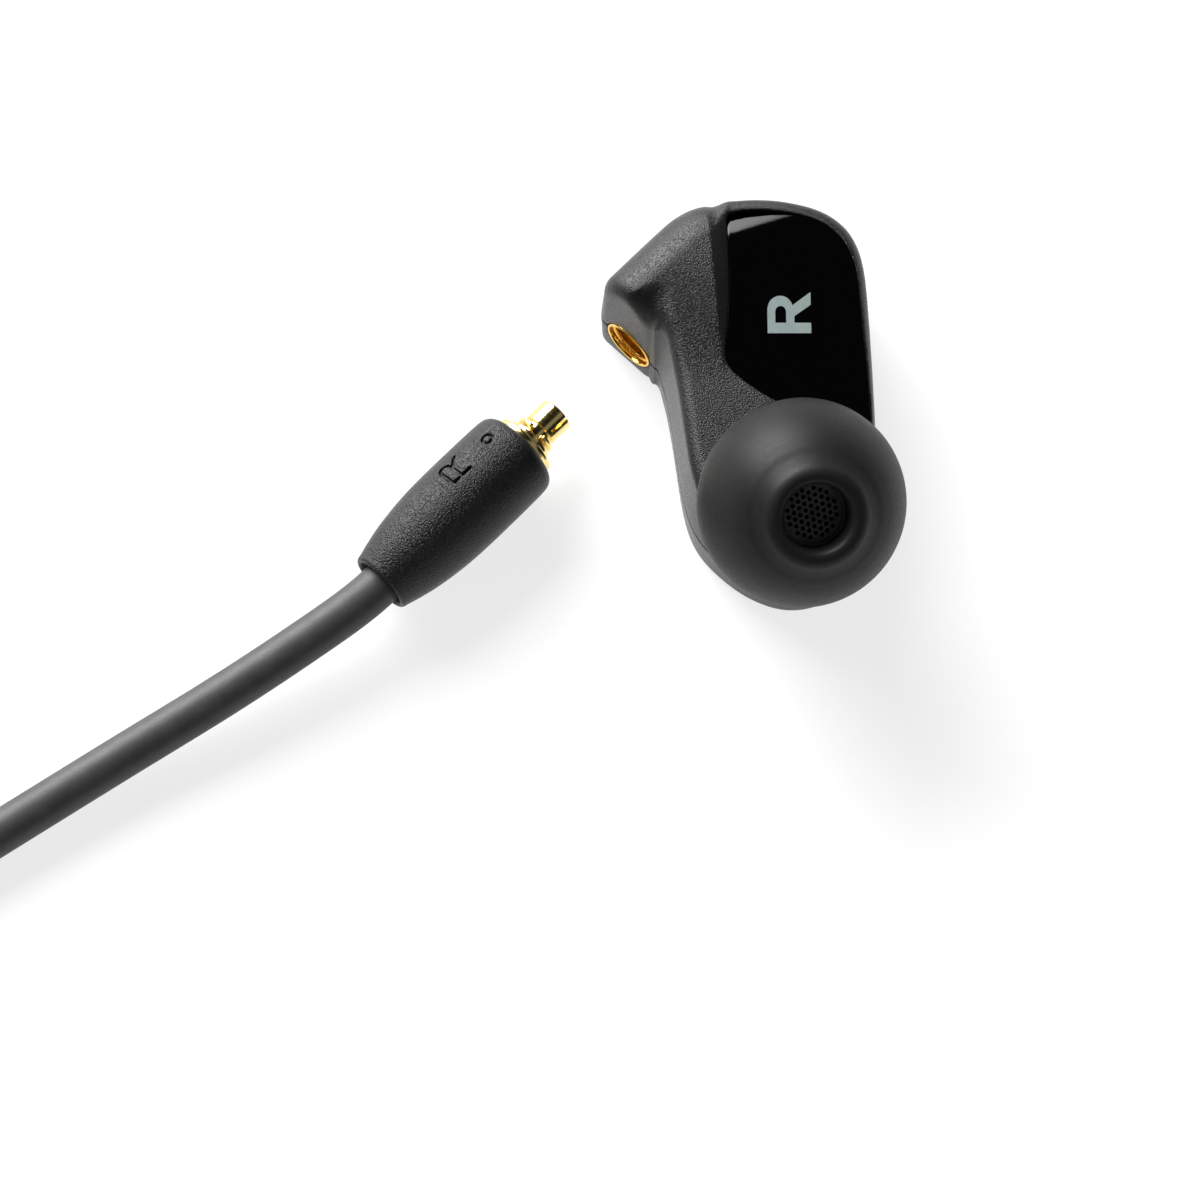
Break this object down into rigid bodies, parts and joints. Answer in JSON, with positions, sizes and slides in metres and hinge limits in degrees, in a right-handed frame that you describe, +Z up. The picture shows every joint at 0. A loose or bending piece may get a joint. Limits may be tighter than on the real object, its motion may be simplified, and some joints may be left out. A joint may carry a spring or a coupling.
{
  "type": "in-ear monitor",
  "caption": "Right in-ear monitor: housing with gloss inlay, angled nozzle, silicone ear tip and coaxial socket, and its unplugged cable end with snap-ring plug, boot and bending cable.",
  "frame": {"origin": "centre of the outer shell's flat outer face, which lies on the table", "axes": "+Z up out of the table towards the ear side, +Y from the nozzle end towards the round end, +X away from the socket arm"},
  "size_m": [0.0637, 0.0459, 0.0186],
  "materials": {
    "housing_matt": "fine textured, satin black",
    "panel_gloss": "polished black",
    "nozzle_plastic": "satin",
    "steel_mesh": "etched, dark",
    "damper_foam": "open foam",
    "driver_steel": "plated",
    "circuit_board": "solder resist",
    "diaphragm_film": "thin film",
    "copper_wire": "enamelled",
    "gold": "gold plated, polished",
    "white_insulator": "smooth",
    "tip_silicone": "matt silicone",
    "boot_matt": "fine textured",
    "cable_jacket": "smooth satin"
  },
  "bodies": {
    "earpiece": {"outer_shell": "housing_matt", "inner_shell": "housing_matt", "gloss_panel": "panel_gloss", "nozzle": "nozzle_plastic", "nozzle_mesh": "steel_mesh", "mesh_ring": "steel_mesh", "acoustic_damper": "damper_foam", "driver_frame": "driver_steel", "driver_yoke": "driver_steel", "driver_magnet": "driver_steel", "driver_pole_plate": "driver_steel", "driver_cover": "driver_steel", "driver_terminal": "circuit_board", "vent_filter": "damper_foam", "signal_lead": "copper_wire", "ground_lead": "copper_wire", "jack_shell": "gold", "jack_insulator": "white_insulator", "jack_contact": "gold"},
    "diaphragm": {"diaphragm": "diaphragm_film", "voice_coil": "copper_wire"},
    "ear_tip": {"ear_tip": "tip_silicone"},
    "snap_ring": {"snap_ring": "gold"},
    "plug": {"plug_barrel": "gold", "plug_insulator": "white_insulator", "plug_pin": "gold", "crimp_ferrule": "driver_steel", "plug_boot": "boot_matt", "cable_jacket_0": "cable_jacket", "cable_cores_0": "copper_wire"},
    "cable_1": {"cable_jacket_1": "cable_jacket", "cable_cores_1": "copper_wire"},
    "cable_2": {"cable_jacket_2": "cable_jacket", "cable_cores_2": "copper_wire"},
    "cable_3": {"cable_jacket_3": "cable_jacket", "cable_cores_3": "copper_wire"},
    "cable_4": {"cable_jacket_4": "cable_jacket", "cable_cores_4": "copper_wire"}
  },
  "joints": [
    {"name": "tip_pull", "type": "slide", "parent": "earpiece", "child": "ear_tip", "axis": [0.1118, -0.4981, 0.8599], "range_m": [0, 0.008]},
    {"name": "diaphragm_excursion", "type": "slide", "parent": "earpiece", "child": "diaphragm", "axis": [0.1118, -0.4981, 0.8599], "range_m": [-0.00015, 0.00015], "stiffness_N_per_m": 10},
    {"name": "plug_insertion", "type": "slide", "parent": "earpiece", "child": "snap_ring", "axis": [0.6921, 0.7218, 0], "range_m": [-0.03, 0.00943]},
    {"name": "plug_swivel", "type": "hinge", "parent": "snap_ring", "child": "plug", "pos_m": [-0.01675, -0.00353, 0.0033], "axis": [0.6921, 0.7218, 0], "continuous": true},
    {"name": "cable_bend_1", "type": "hinge", "parent": "plug", "child": "cable_1", "pos_m": [-0.02678, -0.01399, 0.0033], "axis": [0, 0, 1], "range_deg": [-15, 15]},
    {"name": "cable_bend_2", "type": "hinge", "parent": "cable_1", "child": "cable_2", "pos_m": [-0.03, -0.0164, 0.00295], "axis": [0, 0, 1], "range_deg": [-15, 15]},
    {"name": "cable_bend_3", "type": "hinge", "parent": "cable_2", "child": "cable_3", "pos_m": [-0.0356, -0.02015, 0.00235], "axis": [0, 0, 1], "range_deg": [-15, 15]},
    {"name": "cable_bend_4", "type": "hinge", "parent": "cable_3", "child": "cable_4", "pos_m": [-0.04325, -0.02495, 0.0017], "axis": [0, 0, 1], "range_deg": [-15, 15]}
  ],
  "couplings": [
    {"joint": "cable_bend_2", "follows": "cable_bend_1", "ratio": 1},
    {"joint": "cable_bend_3", "follows": "cable_bend_1", "ratio": 1},
    {"joint": "cable_bend_4", "follows": "cable_bend_1", "ratio": 1}
  ]
}
